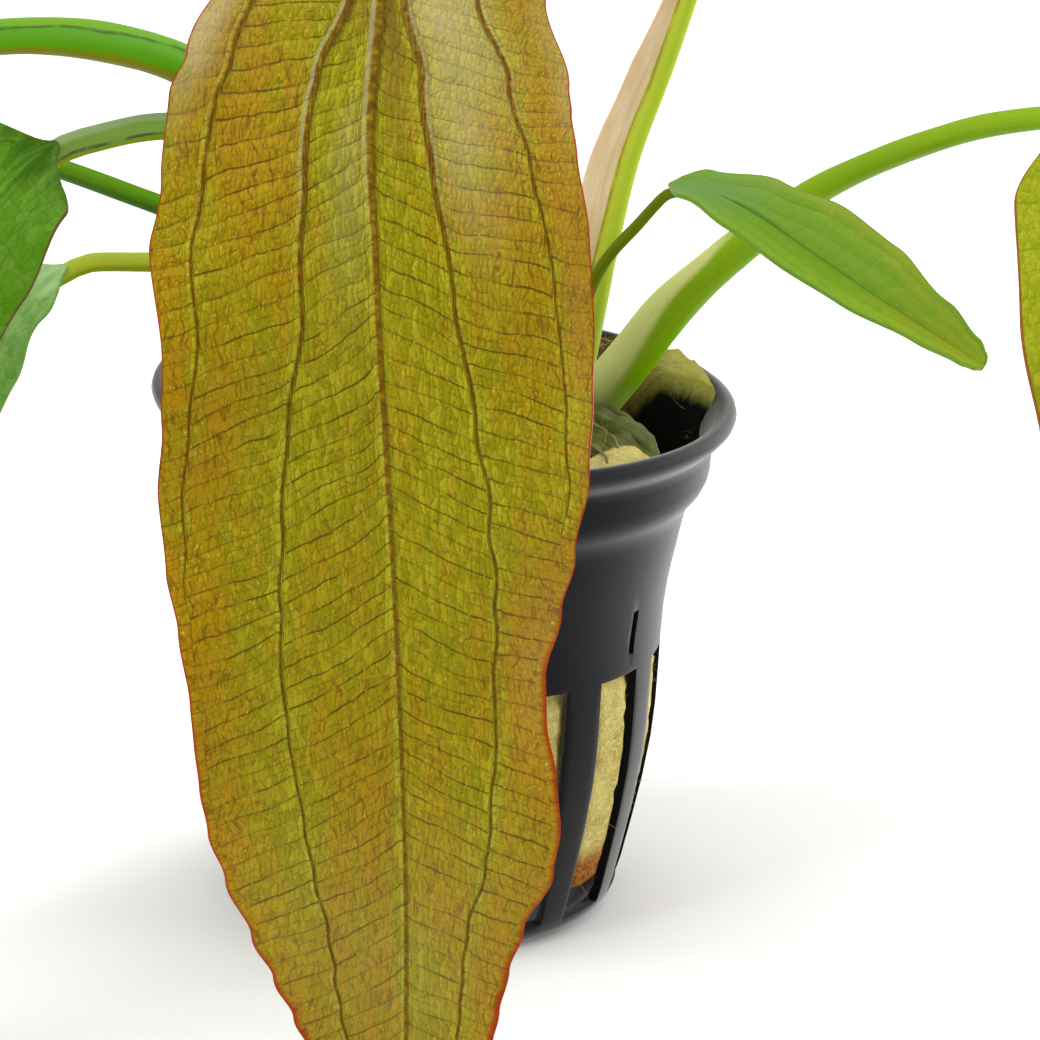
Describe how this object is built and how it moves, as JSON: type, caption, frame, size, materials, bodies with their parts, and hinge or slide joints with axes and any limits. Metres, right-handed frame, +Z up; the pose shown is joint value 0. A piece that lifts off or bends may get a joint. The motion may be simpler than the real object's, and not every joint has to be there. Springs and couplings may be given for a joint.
{
  "type": "potted echinodorus",
  "caption": "Aquarium plant: a rosette of long-stalked, lance-shaped leaves arching out of mineral wool in a small slotted net pot.",
  "frame": {"origin": "centre of the pot's foot, on the surface that the pot stands on", "axes": "+Z up out of the pot; the big hanging leaf is on the -Y side and the tall leaf leans to +X +Y"},
  "size_m": [0.1598, 0.1881, 0.1259],
  "materials": {
    "pot_plastic": "moulded dark grey plastic, satin",
    "rock_wool": "damp mineral wool, yellow-olive, fibrous",
    "rootstock": "plant tissue, pale olive, damp",
    "leaf_stalk": "living leaf stalk, yellow-green, satin",
    "olive_blade": "living leaf, olive with a brown overlay, dark net of veins, satin",
    "green_blade": "living leaf, green, fine net of veins, satin",
    "young_blade": "living young leaf, olive green, satin",
    "withered": "withered leaf base, whitish green, dull"
  },
  "bodies": {
    "root": {"net_pot": "pot_plastic", "rock_wool_plug": "rock_wool", "rootstock": "rootstock", "front_leaf_stalk": "leaf_stalk", "front_leaf_blade": "olive_blade", "high_left_leaf_stalk": "leaf_stalk", "high_left_leaf_blade": "olive_blade", "left_leaf_stalk": "leaf_stalk", "left_leaf_blade": "green_blade", "low_left_leaf_stalk": "leaf_stalk", "low_left_leaf_blade": "green_blade", "back_left_leaf_stalk": "leaf_stalk", "back_left_leaf_blade": "green_blade", "tall_leaf_stalk": "leaf_stalk", "tall_leaf_blade": "olive_blade", "right_leaf_stalk": "leaf_stalk", "right_leaf_blade": "olive_blade", "small_leaf_stalk": "leaf_stalk", "small_leaf_blade": "young_blade", "old_leaf_base_1": "withered", "old_leaf_base_2": "withered"}
  },
  "joints": []
}
